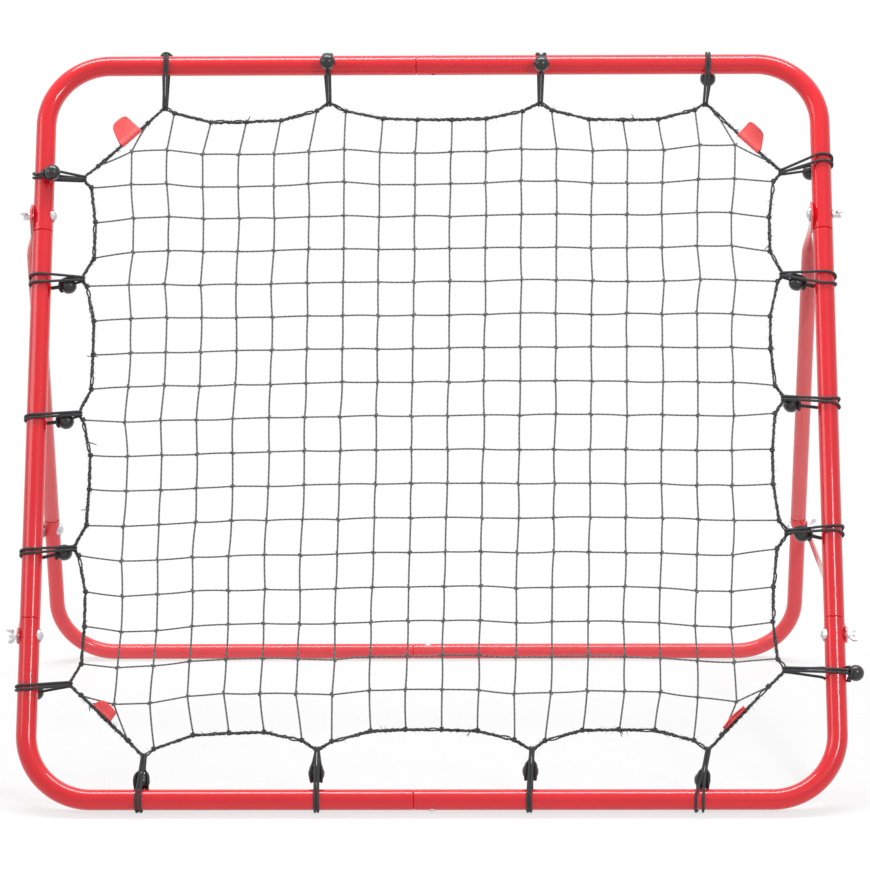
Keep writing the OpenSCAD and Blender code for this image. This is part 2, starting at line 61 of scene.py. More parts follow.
# How far the rope sags between two loops, and the power of its curve.
TOP_SAG = 23.0
BOTTOM_SAG = 25.5
SIDE_SAG = 17.0
CORNER_SAG = 1.2
SAG_POWER = 4.0
SIDE_POWER = 6.0
COLUMNS = 18
ROWS = 17
SEED = 7

# Elastic loops, as in the solids: places along the tube and along the net's edge, reach from
# the tube to the rope, the ball's middle, the start of its strands beside it, the way round the
# tube (1 or -1), and how far apart the two strands are on it. "back" is the way of the return
# strands: past the "sides" of the ball, "gathered" as far as the ball and then past its sides,
# "stacked" before and behind it, with the two strands between ball and tube lying one over the
# other, or "between" the ball and the tube. "around" is how far round the ball they pass, in
# degrees from its net side, or for "between" how far they lie to both sides. "splay" is how much
# further apart the strands are at the outer side of the tube.
Loop = namedtuple("Loop", (
    "tube_at", "net_at", "reach", "ball_along", "ball_out", "ball_front", "start", "turn",
    "apart", "back", "around", "splay",
), defaults=(0.0,))


def loop_rows(*rows):
    return [Loop(*row) for row in rows]


TOP_LOOPS = loop_rows(
    (-337, -338, 55.5, -339, 15.4, -18.2, 0, 1, 3.7, "between", 3.9),
    (-134, -131, 50, -132.3, -5, 26.8, 0, -1, 6.4, "between", 1.7),
    (137, 136, 51, 137.4, -9, 26.8, 0, -1, 6.4, "between", 1.7),
    (348, 344, 52, 349.5, -9.8, -24.5, 0, 1, 3.7, "between", 3.3),
)
BOTTOM_LOOPS = loop_rows(
    (-350, -345, 51.5, -347.3, -23, -4, 0, 1, 5, "gathered", 40),
    (-137, -137, 59.5, -137.7, -32.6, -4, 0, 1, 3.7, "sides", 34),
    (117, 121, 59.5, 119, -35, -4, 0, 1, 3.7, "gathered", 30),
    (320, 332, 59, 324.8, -24.3, -4, 0, 1, 9, "gathered", 30),
)
LEFT_LOOPS = loop_rows(
    (135, 141, 49, 136.7, -6.6, -25.5, 0, 1, 5, "between", 3.3),
    (304, 310, 49.5, 308.3, -37.6, -13, -8, 1, 5, "stacked", 60),
    (475, 481, 51, 473, -35.9, -4, 0, 1, 3.7, "stacked", 60),
    (654, 656, 49.5, 648.6, -34, -4, 0, 1, 10.5, "stacked", 60),
    (796, 789, 47.5, 788.6, -12.6, 25, 0, -1, 7, "sides", 24),
)
RIGHT_LOOPS = loop_rows(
    (154, 158, 59.5, 153.5, 24, 2, 0, 1, 3.7, "sides", 50),
    (331, 329, 52.5, 327.9, -35.9, -4, -4, 1, 5, "stacked", 60, 2.4),
    (493, 499, 52.5, 495.5, -43.9, -14.5, -5, 1, 3.7, "stacked", 60, 3.6),
    (652, 659, 50.5, 650, -34.2, -4, -2, 1, 15, "stacked", 60, -2.0),
    (810, 795, 48.5, 803.1, -11.6, -23.7, 0, 1, 9, "between", 3.3),
)


def front(u, w, o=0.0):
    """Front frame: u across, w up the slope, o forwards out of the net, in mm."""
    return Vector((
        u,
        w * math.sin(LEAN) - o * math.cos(LEAN),
        FRONT_Z + w * math.cos(LEAN) + o * math.sin(LEAN),
    )) * MM


# ---------------- camera
CAMERA_MM = (66.39, -3965.67, 1737.48)
CAMERA_YAW = 0.01483
CAMERA_PITCH = -0.30833
CAMERA_ROLL = 0.00659
FOCAL_PX = 3597.7
IMAGE_PX = 870
SENSOR_MM = 36.0
CLIP_END = 100.0


def make_camera():
    turn = (
        Matrix.Rotation(CAMERA_YAW, 4, "Z")
        @ Matrix.Rotation(CAMERA_PITCH, 4, "X")
        @ Matrix.Rotation(CAMERA_ROLL, 4, "Y")
        @ Matrix.Rotation(math.radians(90), 4, "X")
    )
    data = bpy.data.cameras.new("camera")
    data.sensor_width = SENSOR_MM
    data.lens = FOCAL_PX / IMAGE_PX * SENSOR_MM
    data.clip_end = CLIP_END
    cam = bpy.data.objects.new("camera", data)
    cam.matrix_world = Matrix.Translation(Vector(CAMERA_MM) * MM) @ turn
    bpy.context.scene.collection.objects.link(cam)
    bpy.context.scene.camera = cam


make_camera()


# ---------------- materials
# Spans of values: what a noise mostly keeps to, a sine wave, and a plain share.
NOISE = (0.3, 0.7)
WAVE = (-1.0, 1.0)
UNIT = (0.0, 1.0)
FULL_TURN = 2 * math.pi


class Nodes:
    """The node tree of a material or world, with short calls for the nodes used here."""

    def __init__(self, owner):
        owner.use_nodes = True
        self.owner = owner
        self.tree = owner.node_tree
        self.bsdf = self.tree.nodes.get("Principled BSDF")

    def put(self, socket, value):
        if isinstance(value, bpy.types.NodeSocket):
            self.tree.links.new(value, socket)
        else:
            socket.default_value = value

    def fill(self, node, inputs):
        for key, value in inputs.items():
            self.put(node.inputs[key.replace("_", " ")], value)

    def add(self, kind, settings=None, **inputs):
        node = self.tree.nodes.new("ShaderNode" + kind)
        for key, value in (settings or {}).items():
            setattr(node, key, value)
        self.fill(node, inputs)
        return node

    def shader(self, **inputs):
        self.fill(self.bsdf, inputs)

    def fed(self, kind, settings, *values):
        """A node whose first sockets take these values, in their order."""
        node = self.add(kind, settings)
        for socket, value in zip(node.inputs, values):
            self.put(socket, value)
        return node

    def math(self, operation, a, b=0.0):
        return self.fed("Math", {"operation": operation}, a, b).outputs[0]

    def times(self, a, b):
        return self.math("MULTIPLY", a, b)

    def plus(self, a, b):
        return self.math("ADD", a, b)

    def wave(self, turns):
        return self.math("SINE", self.times(turns, FULL_TURN))

    def uv(self):
        """Metres along or across, and the share of a turn round or metres along."""
        parts = self.add("SeparateXYZ", Vector=self.add("UVMap", {"uv_map": "along"}).outputs[0])
        return parts.outputs[0], parts.outputs[1]

    def place(self):
        return self.add("TexCoord").outputs["Object"]

    def scaled(self, vector, x, y, z):
        return self.add("Mapping", Vector=vector, Scale=(x, y, z)).outputs[0]

    def noise(self, vector, scale, detail=3.0, rough=0.55):
        node = self.add("TexNoise", Vector=vector, Scale=scale, Detail=detail, Roughness=rough)
        return node.outputs["Fac"]

    def ramp(self, value, stops):
        """The colour between two stops, each a place and a colour."""
        node = self.add("ValToRGB", Fac=value)
        for end, (at, colour) in zip(node.color_ramp.elements, stops):
            end.position = at
            end.color = (*colour, 1)
        return node.outputs["Color"]

    def level(self, value, span, target):
        """The value, with its span stretched to the target span."""
        return self.fed("MapRange", None, value, *span, *target).outputs[0]

    def bump(self, height, strength, distance, under=None):
        node = self.add("Bump", Height=height, Strength=strength, Distance=distance)
        if under is not None:
            self.put(node.inputs["Normal"], under)
        return node.outputs["Normal"]

    def seen(self):
        """1 where the camera looks, also through glass or in a reflection, and 0 for light."""
        path = self.add("LightPath")
        seen = path.outputs["Is Camera Ray"]
        for kind in ("Is Transmission Ray", "Is Glossy Ray"):
            seen = self.math("MAXIMUM", seen, path.outputs[kind])
        return seen


def new_material(name):
    return Nodes(bpy.data.materials.new(name))


# Worn spots of the paint: how far they go to a duller tint, that tint, and their roughness.
WORN_DULL = 0.25
WORN_TINT = (0.7, 1.3, 1.3)
WORN_ROUGH = 0.18


def paint(name, light, dark, coat):
    n = new_material(name)
    at = n.place()
    tone = n.noise(at, scale=9.0)
    peel = n.noise(at, scale=420.0, detail=2.0)
    speck = n.noise(at, scale=1900.0, detail=1.0)
    scuff = n.noise(n.scaled(at, x=1.0, y=0.35, z=0.35), scale=46.0, detail=6.0, rough=0.7)
    worn = n.level(scuff, (0.66, 0.74), UNIT)
    colour = n.ramp(tone, [(0.3, dark), (0.7, light)])
    dull = n.add("Mix", {"data_type": "RGBA"})
    n.put(dull.inputs["Factor"], n.times(worn, WORN_DULL))
    n.put(dull.inputs[6], colour)
    n.put(dull.inputs[7], (*(c * share for c, share in zip(dark, WORN_TINT)), 1))
    rough = n.plus(n.level(tone, NOISE, (0.34, 0.42)), n.times(worn, WORN_ROUGH))
    normal = n.bump(peel, strength=0.10, distance=0.0004)
    normal = n.bump(speck, strength=0.05, distance=0.0001, under=normal)
    n.shader(
        Base_Color=dull.outputs[2], Roughness=rough, Normal=normal,
        Coat_Weight=coat, Coat_Roughness=0.07, IOR=1.5, Specular_IOR_Level=0.2,
    )
    return n.owner


# The zinc's darker crystals, and what they add to its roughness.
SPANGLE_DARK = 0.72
SPANGLE_ROUGH = 0.08


def zinc(name, tint, rough):
    n = new_material(name)
    at = n.place()
    spangle = n.add("TexVoronoi", Vector=at, Scale=900.0).outputs["Distance"]
    cloud = n.noise(at, scale=160.0, detail=5.0)
    streak = n.noise(n.scaled(at, x=0.2, y=1.0, z=1.0), scale=1500.0, detail=2.0)
    colour = n.ramp(cloud, [(0.35, tuple(c * SPANGLE_DARK for c in tint)), (0.62, tint)])
    value = n.plus(n.level(cloud, NOISE, (rough - 0.08, rough + 0.12)),
                   n.times(spangle, SPANGLE_ROUGH))
    n.shader(
        Base_Color=colour, Metallic=1.0, Roughness=value,
        Normal=n.bump(streak, strength=0.12, distance=0.0002),
    )
    return n.owner


MOULD_DARK = 0.7
SCRATCH_ROUGH = 0.15


def dark_plastic(name, tone, rough, coat):
    n = new_material(name)
    at = n.place()
    grain = n.noise(at, scale=900.0, detail=4.0)
    cloud = n.noise(at, scale=60.0, detail=3.0)
    scratch = n.noise(n.scaled(at, x=1.0, y=9.0, z=1.0), scale=160.0, detail=8.0, rough=0.75)
    fine = n.level(scratch, (0.62, 0.72), UNIT)
    colour = n.ramp(cloud, [(0.3, tuple(c * MOULD_DARK for c in tone)), (0.7, tone)])
    value = n.plus(n.level(grain, NOISE, (rough, rough + 0.08)), n.times(fine, SCRATCH_ROUGH))
    n.shader(
        Base_Color=colour, Roughness=value, Normal=n.bump(grain, strength=0.06, distance=0.0002),
        Coat_Weight=coat, Coat_Roughness=0.08, Specular_IOR_Level=0.3,
    )
    return n.owner


def twisted(name, light, dark, pitch, strands, strength):
    """Twine: its UV runs along it in metres and once round it."""
    n = new_material(name)
    along, around = n.uv()
    turns = n.plus(n.times(along, 1.0 / pitch), n.times(around, strands))
    ridge = n.level(n.wave(turns), WAVE, UNIT)
    at = n.place()
    fibre = n.noise(at, scale=2600.0, detail=3.0)
    patch = n.noise(at, scale=35.0, detail=4.0)
    # Painted shade: the colour is darker in the grooves between the twisted strands, where the bump
    # sinks, and it also varies at random with the fibres and patches.
    shade = n.times(n.level(ridge, UNIT, (0.55, 1.0)), n.level(fibre, NOISE, (0.75, 1.15)))
    shade = n.times(shade, n.level(patch, NOISE, (0.8, 1.15)))
    colour = n.ramp(shade, [(0.25, dark), (0.95, light)])
    normal = n.bump(ridge, strength=strength, distance=0.0006)
    normal = n.bump(fibre, strength=0.25, distance=0.0003, under=normal)
    n.shader(
        Base_Color=colour, Roughness=n.level(fibre, NOISE, (0.7, 0.9)), Normal=normal,
        Sheen_Weight=0.25, Sheen_Roughness=0.5, Sheen_Tint=(0.5, 0.5, 0.52, 1),
        Specular_IOR_Level=0.3,
    )
    return n.owner


def braided(name, light, dark, pitch, carriers):
    """Woven sheath of the elastic cord: two sets of crossing ridges."""
    n = new_material(name)
    along, around = n.uv()
    along, around = n.times(along, 1.0 / pitch), n.times(around, carriers)
    left = n.wave(n.plus(along, around))
    right = n.wave(n.math("SUBTRACT", along, around))
    weave = n.level(n.times(left, right), WAVE, UNIT)
    fibre = n.noise(n.place(), scale=3000.0, detail=3.0)
    # Painted shade: the colour is darker in the hollows of the braid, where its bump sinks, and it
    # also varies at random with the fibres.
    shade = n.times(n.level(weave, UNIT, (0.5, 1.0)), n.level(fibre, NOISE, (0.8, 1.1)))
    colour = n.ramp(shade, [(0.35, dark), (0.95, light)])
    normal = n.bump(weave, strength=0.6, distance=0.0004)
    normal = n.bump(fibre, strength=0.2, distance=0.0002, under=normal)
    n.shader(
        Base_Color=colour, Roughness=n.level(fibre, NOISE, (0.6, 0.8)), Normal=normal,
        Sheen_Weight=0.2, Sheen_Roughness=0.45, Sheen_Tint=(0.4, 0.4, 0.42, 1),
        Specular_IOR_Level=0.25,
    )
    return n.owner


# Width of a thread pair of the tape, in metres.
THREAD = 0.0011


def cloth(name, light, dark):
    """Plain-woven tape: its UV is in metres across and along the strip."""
    n = new_material(name)
    warp, weft = (n.math("SINE", n.times(way, FULL_TURN / THREAD)) for way in n.uv())
    weave = n.level(n.times(warp, weft), WAVE, UNIT)
    at = n.place()
    fibre = n.noise(at, scale=2400.0, detail=3.0)
    crease = n.noise(at, scale=70.0, detail=4.0)
    # Painted shade: the colour is darker between the threads of the weave and in the hollows of the
    # creases, where the bumps sink.
    shade = n.times(n.level(weave, UNIT, (0.82, 1.0)), n.level(crease, NOISE, (0.88, 1.06)))
    colour = n.ramp(shade, [(0.6, dark), (1.0, light)])
    normal = n.bump(crease, strength=0.3, distance=0.002)
    normal = n.bump(weave, strength=0.4, distance=0.0003, under=normal)
    n.shader(
        Base_Color=colour, Roughness=n.level(fibre, NOISE, (0.65, 0.85)), Normal=normal,
        Sheen_Weight=0.3, Sheen_Roughness=0.4, Sheen_Tint=(1, 0.75, 0.72, 1),
    )
    return n.owner


COAT = 0.8
RED = paint("red_powder_coat", (0.72, 0.004, 0.014), (0.66, 0.003, 0.012), COAT)
# Paler copies of the same red paint for the rear corner tubes, the rear legs and the braces:
# painted light, standing in for the light that makes these parts look paler than the front's red.
RED_REAR_PAINTED_LIGHT = paint("red_powder_coat_rear_painted_light", (0.80, 0.052, 0.064), (0.73, 0.046, 0.057), COAT)
RED_LEG_PAINTED_LIGHT = paint("red_powder_coat_legs_painted_light", (0.78, 0.115, 0.124), (0.71, 0.104, 0.111), COAT)
RED_BRACE_PAINTED_LIGHT = paint("red_powder_coat_braces_painted_light", (0.76, 0.21, 0.215), (0.70, 0.18, 0.185), COAT)
ZINC = zinc("zinc_plate", (0.70, 0.71, 0.73), rough=0.30)
BALL = dark_plastic("ball_plastic", (0.017, 0.017, 0.019), rough=0.26, coat=0.45)
TWINE = twisted("net_twine", (0.195, 0.199, 0.204), (0.042, 0.043, 0.045),
                pitch=0.0065, strands=1.0, strength=0.7)
ROPE = twisted("edge_rope_twine", (0.085, 0.088, 0.092), (0.016, 0.017, 0.018),
               pitch=0.005, strands=1.0, strength=0.8)
CORD = braided("elastic_sheath", (0.060, 0.062, 0.066), (0.010, 0.010, 0.011),
               pitch=0.0032, carriers=4.0)
FABRIC = cloth("red_tab_fabric", (1.0, 0.125, 0.125), (0.82, 0.070, 0.075))


def dress(node, mat):
    data = frame["nodes"][node].data
    data.materials.clear()
    data.materials.append(mat)


SLOT_MATERIALS = {"red_tube": RED, "zinc_hardware": ZINC}
# Parts that take the paler painted-light copies of the red paint instead of the plain red.
PAINTED_LIGHT_COPIES = {
    "left_rear_leg": RED_LEG_PAINTED_LIGHT, "right_rear_leg": RED_LEG_PAINTED_LIGHT,
    "rear_left_corner_tube": RED_REAR_PAINTED_LIGHT, "rear_right_corner_tube": RED_REAR_PAINTED_LIGHT,
    "left_brace": RED_BRACE_PAINTED_LIGHT, "right_brace": RED_BRACE_PAINTED_LIGHT,
}
for part in frame["record"]["subparts"]:
    if part["material_slot"] in SLOT_MATERIALS:
        chosen = SLOT_MATERIALS[part["material_slot"]]
        dress(part["node"], PAINTED_LIGHT_COPIES.get(part["node"], chosen))


# ---------------- mesh building
class Builder:
    """Collects tubes and other surfaces, in mm in the front frame's plane, into one mesh."""

    def __init__(self):
        self.verts = []
        self.faces = []
        self.uvs = []

    def face(self, corners, uvs):
        self.faces.append(corners)
        self.uvs.extend(uvs)

    def ring(self, centre, across, over, r, sides, twist=0.0):
        for k in range(sides):
            a = FULL_TURN * k / sides + twist
            self.verts.append(centre + across * (r * math.cos(a)) + over * (r * math.sin(a)))

    def band(self, a, b, sides, start, end, turned=False):
        """Faces between the rings whose first vertices are a and b, from start to end in mm."""
        for k in range(sides):
            m = (k + 1) % sides
            u, v = k / sides, (k + 1) / sides
            uvs = ((start * MM, u), (start * MM, v), (end * MM, v), (end * MM, u))
            self.face((a + k, a + m, b + m, b + k), [uv[::-1] for uv in uvs] if turned else uvs)

    def tube(self, points, radius, sides, closed=False, caps=True):
        """radius is a number, or a function of the share of the way along the points."""
        n = len(points)

        def at(i):
            return points[i % n if closed else max(0, min(i, n - 1))]

        ways = [(at(i + 1) - at(i - 1)).normalized() for i in range(n)]
        normal = ways[0].orthogonal().normalized()
        normals = [normal]
        for i in range(1, n):
            normal = ways[i - 1].rotation_difference(ways[i]) @ normal
            normals.append(normal)
        slip = 0.0
        if closed:
            last = ways[-1].rotation_difference(ways[0]) @ normals[-1]
            slip = last.angle(normals[0])
            if last.cross(normals[0]).dot(ways[0]) < 0:
                slip = -slip
        base = len(self.verts)
        far = lengths(points)
        for i in range(n):
            r = radius(i / max(n - 1, 1)) if callable(radius) else radius
            over = ways[i].cross(normals[i])
            self.ring(points[i], normals[i], over, r, sides, slip * i / n)
        for i in range(n if closed else n - 1):
            j = (i + 1) % n
            end = far[j] if j else far[-1] + (points[0] - points[-1]).length
            self.band(base + i * sides, base + j * sides, sides, far[i], end)
        if caps and not closed:
            first = tuple(base + k for k in reversed(range(sides)))
            final = tuple(base + (n - 1) * sides + k for k in range(sides))
            self.face(first, [(0.0, k / sides) for k in reversed(range(sides))])
            self.face(final, [(far[-1] * MM, k / sides) for k in range(sides)])

    def lathe(self, profile, centre, axis, sides):
        """profile holds (radius, height) along axis, from one pole to the other."""
        axis = Vector(axis).normalized()
        across = axis.orthogonal().normalized()
        over = axis.cross(across)
        centre = Vector(centre)
        base = len(self.verts)
        for r, h in profile:
            self.ring(centre + axis * h, across, over, r, sides)
        for i in range(len(profile) - 1):
            start = base + i * sides
            self.band(start, start + sides, sides, i, i + 1, turned=True)
        first = tuple(base + k for k in reversed(range(sides)))
        last = base + (len(profile) - 1) * sides
        final = tuple(last + k for k in range(sides))
        self.face(first, [(0.0, 0.0)] * sides)
        self.face(final, [(0.0, 0.0)] * sides)

    def make(self, name, mat, slot, body, replaced):
        mesh = bpy.data.meshes.new(name)
        mesh.from_pydata([front(*v) for v in self.verts], [], self.faces)
        layer = mesh.uv_layers.new(name="along")
        for loop, uv in zip(layer.data, self.uvs):
            loop.uv = uv
        mesh.update()
        mesh.shade_smooth()
        mesh.materials.append(mat)
        piece = bpy.data.objects.new(name, mesh)
        bpy.context.scene.collection.objects.link(piece)
        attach(piece, body)
        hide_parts(*replaced)
        return piece


def lengths(points):
    """How far along the line each point lies."""
    far = [0.0]
    for a, b in zip(points, points[1:]):
        far.append(far[-1] + (b - a).length)
    return far


def resampled(points, step, closed=False):
    """The same line with points about step apart."""
    line = list(points) + ([points[0]] if closed else [])
    far = lengths(line)
    count = max(2, round(far[-1] / step))
    out = []
    at = 0
    for i in range(count if closed else count + 1):
        want = far[-1] * i / count
        while at < len(far) - 2 and far[at + 1] < want:
            at += 1
        span = far[at + 1] - far[at]
        out.append(line[at].lerp(line[at + 1], (want - far[at]) / span if span else 0.0))
    return out


def rounded_off(points, passes):
    """Takes the corners off a line of close points."""
    for _ in range(passes):
        points = [points[0]] + [
            (a + b * 2 + c) * 0.25 for a, b, c in zip(points, points[1:], points[2:])
        ] + [points[-1]]
    return points


def ease(f):
    """From 0 to 1 with a soft start and end."""
    return f * f * (3 - 2 * f)


def stray(spread):
    """A small random step to any side."""
    return Vector([chance.gauss(0, spread) for _ in range(3)])


chance = random.Random(SEED)
FORWARD = Vector((0, 0, 1))


# ---------------- the net's edge
# Where the loops hold the rope, anticlockwise from the lower right, and the sag and its power of
# each stretch from one of them to the next.
PINCHES = (
    [Vector((HALF_W - row.reach, row.net_at, 0)) for row in RIGHT_LOOPS]
    + [Vector((row.net_at, FRAME_H - row.reach, 0)) for row in reversed(TOP_LOOPS)]
    + [Vector((row.reach - HALF_W, row.net_at, 0)) for row in reversed(LEFT_LOOPS)]
    + [Vector((row.net_at, row.reach, 0)) for row in BOTTOM_LOOPS]
)
SPAN_STEPS = 14
SIDE_SPANS = [(SIDE_SAG, SIDE_POWER)] * 4
CORNER_SPAN = [(CORNER_SAG, SAG_POWER)]
SAGS = (SIDE_SPANS + CORNER_SPAN + [(TOP_SAG, SAG_POWER)] * 3 + CORNER_SPAN
        + SIDE_SPANS + CORNER_SPAN + [(BOTTOM_SAG, SAG_POWER)] * 3 + CORNER_SPAN)


def edge_line():
    """The rope's line: it sags inwards between the loops, and is straight at the corners."""
    line = []
    for i, a in enumerate(PINCHES):
        b = PINCHES[(i + 1) % len(PINCHES)]
        run = b - a
        inward = Vector((-run.y, run.x, 0)).normalized()
        sag, power = SAGS[i]
        for k in range(SPAN_STEPS):
            f = k / SPAN_STEPS
            line.append(a + run * f + inward * sag * (1 - abs(2 * f - 1) ** power))
    return line


EDGE = edge_line()


def edge_at(coordinate, value, near):
    """The point of the edge whose x (0) or y (1) is value, on the side near that point."""
    best = None
    n = len(EDGE)
    for i in range(n):
        a, b = EDGE[i], EDGE[(i + 1) % n]
        low, high = sorted((a[coordinate], b[coordinate]))
        if low <= value <= high and high > low:
            f = (value - a[coordinate]) / (b[coordinate] - a[coordinate])
            p = a.lerp(b, f)
            far = (p - near).length
            if best is None or far < best[0]:
                best = (far, p)
    return best[1] if best else near


def on_edge(p):
    """The point of the edge nearest to p."""
    best = None
    for i, b in enumerate(EDGE):
        a = EDGE[i - 1]
        run = b - a
        f = max(0.0, min(1.0, (p - a).dot(run) / run.length_squared))
        q = a + run * f
        if best is None or (q - p).length < (best - p).length:
            best = q
    return best


# ---------------- the net
# Where the outermost twines of a side are tied to the rope: the side and the twine's number.
CORNER_TIES = {
    ("top", 0): (-356.4, 860.4), ("top", COLUMNS - 1): (354.7, 868.2),
    ("bottom", 0): (-359.7, 76.9), ("bottom", COLUMNS - 1): (345.5, 80.9),
    ("left", 0): (-418.0, 803.5), ("left", ROWS - 1): (-419.3, 130.6),
    ("right", 0): (421.1, 807.4), ("right", ROWS - 1): (401.7, 141.1),
}
# The outer twines lean towards the net's middle: their share of the way, and that middle.
TIE_PULL = {
    "top": (0.029, 55.0), "bottom": (0.029, 0.0),
    "left": (0.025, 478.0), "right": (0.025, 478.0),
}
# A loop draws the ties beside it by this share, up to about this distance.
TIE_DRAW = 0.28
TIE_DRAW_WIDTH = 28.0
OUTSIDE = {"top": (0, 60), "bottom": (0, -60), "left": (-60, 0), "right": (60, 0)}
# The net's middle, half its spread, and how it hangs skew, bowed and tapered.
NET_U, SPREAD_U, SKEW_U, TAPER_U, BOW_U = -2.2, 375.2, 5.0, 2.8, 2.1
NET_W, SPREAD_W, SKEW_W, BOW_W, TAPER_W = 478.3, 349.0, 2.7, 4.4, 3.6
LAST_KNOT = (365.5, 120.8)
# The rope's sag moves the knots near it: the rope's places, the share, and how it fades.
ROPE_TOP, ROPE_BOTTOM, ROPE_LEFT, ROPE_RIGHT = 885, 60, -434, 430
EDGE_PULL = 0.6
EDGE_FADE = 140.0
PAST_LOOPS = -0.2
# Each knot is a little out of place, and each twine a little bowed, sideways and in depth.
KNOT_STRAY, KNOT_DEPTH = 0.8, 0.6
BOW_SIDE, BOW_DEPTH = 0.7, 0.5
BOW_STEPS = 5


def sag_of(loops, place):
    """How far the rope beside that place hangs in, from -0.5 at a loop to 0.5 midway."""
    places = sorted(row.net_at for row in loops)
    for a, b in zip(places, places[1:]):
        if a <= place <= b:
            f = (place - a) / (b - a)
            return 0.5 - abs(2 * f - 1) ** SAG_POWER
    return PAST_LOOPS


def edge_pull(sag, loops, place, gap):
    return EDGE_PULL * sag * sag_of(loops, place) * math.exp(-abs(gap) / EDGE_FADE)


def knot_place(i, j):
    """Knot of column i from the left and row j from the top: the net hangs a little skew."""
    s = (i - (COLUMNS - 1) / 2) / ((COLUMNS - 1) / 2)
    t = (j - (ROWS - 1) / 2) / ((ROWS - 1) / 2)
    u = NET_U + SPREAD_U * s - SKEW_U * t - TAPER_U * s * t - BOW_U * t * t
    w = NET_W + SKEW_W * s - SPREAD_W * t - BOW_W * s * s - TAPER_W * s * s * t
    if (i, j) == (COLUMNS - 1, ROWS - 1):
        u, w = LAST_KNOT
    w -= edge_pull(TOP_SAG, TOP_LOOPS, u, ROPE_TOP - w)
    w += edge_pull(BOTTOM_SAG, BOTTOM_LOOPS, u, w - ROPE_BOTTOM)
    u += edge_pull(SIDE_SAG, LEFT_LOOPS, w, u - ROPE_LEFT)
    u -= edge_pull(SIDE_SAG, RIGHT_LOOPS, w, ROPE_RIGHT - u)
    return Vector((u + chance.uniform(-KNOT_STRAY, KNOT_STRAY),
                   w + chance.uniform(-KNOT_STRAY, KNOT_STRAY),
                   chance.uniform(-KNOT_DEPTH, KNOT_DEPTH)))


KNOTS = [[knot_place(i, j) for j in range(ROWS)] for i in range(COLUMNS)]


def tie_place(side, index, knot, loops, coordinate):
    """Where a twine from an outer knot is tied to the rope."""
    if (side, index) in CORNER_TIES:
        return on_edge(Vector((*CORNER_TIES[(side, index)], 0)))
    value = knot[coordinate]
    pull, middle = TIE_PULL[side]
    value += pull * (middle - value)
    for row in loops:
        off = value - row.net_at
        value -= TIE_DRAW * off * math.exp(-((off / TIE_DRAW_WIDTH) ** 2))
    return edge_at(coordinate, value, knot + Vector((*OUTSIDE[side], 0)))


TOP_TIES = [tie_place("top", i, KNOTS[i][0], TOP_LOOPS, 0) for i in range(COLUMNS)]
BOTTOM_TIES = [tie_place("bottom", i, KNOTS[i][-1], BOTTOM_LOOPS, 0) for i in range(COLUMNS)]
LEFT_TIES = [tie_place("left", j, KNOTS[0][j], LEFT_LOOPS, 1) for j in range(ROWS)]
RIGHT_TIES = [tie_place("right", j, KNOTS[-1][j], RIGHT_LOOPS, 1) for j in range(ROWS)]
TIES = TOP_TIES + BOTTOM_TIES + LEFT_TIES + RIGHT_TIES


def slack(a, b, bow):
    """A twine between two knots, bowed a little to one side."""
    run = b - a
    side = Vector((-run.y, run.x, 0)).normalized()
    out = []
    for k in range(BOW_STEPS):
        f = k / BOW_STEPS
        h = 4 * f * (1 - f)
        out.append(a + run * f + side * (bow[0] * h) + FORWARD * (bow[1] * h))
    return out


def twine_line(stops):
    line = []
    for a, b in zip(stops, stops[1:]):
        bow = chance.uniform(-BOW_SIDE, BOW_SIDE), chance.uniform(-BOW_DEPTH, BOW_DEPTH)
        line += slack(a, b, bow)
    line.append(stops[-1])
    return line


TWINE_R = 1.13
TWINE_SIDES = 6
# A knot's bight: its radius and depth, how far it winds up the twine and leans, its turns.
BIGHT_R, BIGHT_WAVE, BIGHT_DEPTH = 1.45, 0.25, 1.265
BIGHT_RISE, BIGHT_LEAN = 2.72, 0.35
BIGHT_FROM, BIGHT_TURNS, BIGHT_STEPS = 0.12, 1.6, 14
BIGHT_TWINE_R = 1.0
# The twine that crosses it.
CROSS_LEN, CROSS_STEEP, CROSS_DEPTH, CROSS_STEPS = 4.6, 0.9, 0.9, 4
CROSS_TWINE_R = 1.05
KNOT_SIDES = 5
KNOT_SPIN = 0.5


def add_knot(net, at, across, up):
    """One mesh knot: a bight round the crossing, with the crossing twine through it."""
    tilt = 1 if chance.random() < 0.5 else -1
    turn = []
    for k in range(BIGHT_STEPS + 1):
        f = k / BIGHT_STEPS
        a = FULL_TURN * (BIGHT_TURNS * f + BIGHT_FROM)
        r = BIGHT_R + BIGHT_WAVE * math.sin(3 * a)
        turn.append(
            at + across * (r * math.cos(a)) + FORWARD * (BIGHT_DEPTH * math.sin(a))
            + (up + across * BIGHT_LEAN * tilt) * (BIGHT_RISE * (f - 0.5))
        )
    net.tube(turn, BIGHT_TWINE_R, KNOT_SIDES)
    cross = []
    for k in range(CROSS_STEPS + 1):
        f = k / CROSS_STEPS
        slope = across * tilt * (f - 0.5) + up * (0.5 - f) * CROSS_STEEP
        cross.append(at + slope * CROSS_LEN + FORWARD * (CROSS_DEPTH * math.sin(math.pi * f)))
    net.tube(cross, CROSS_TWINE_R, KNOT_SIDES)


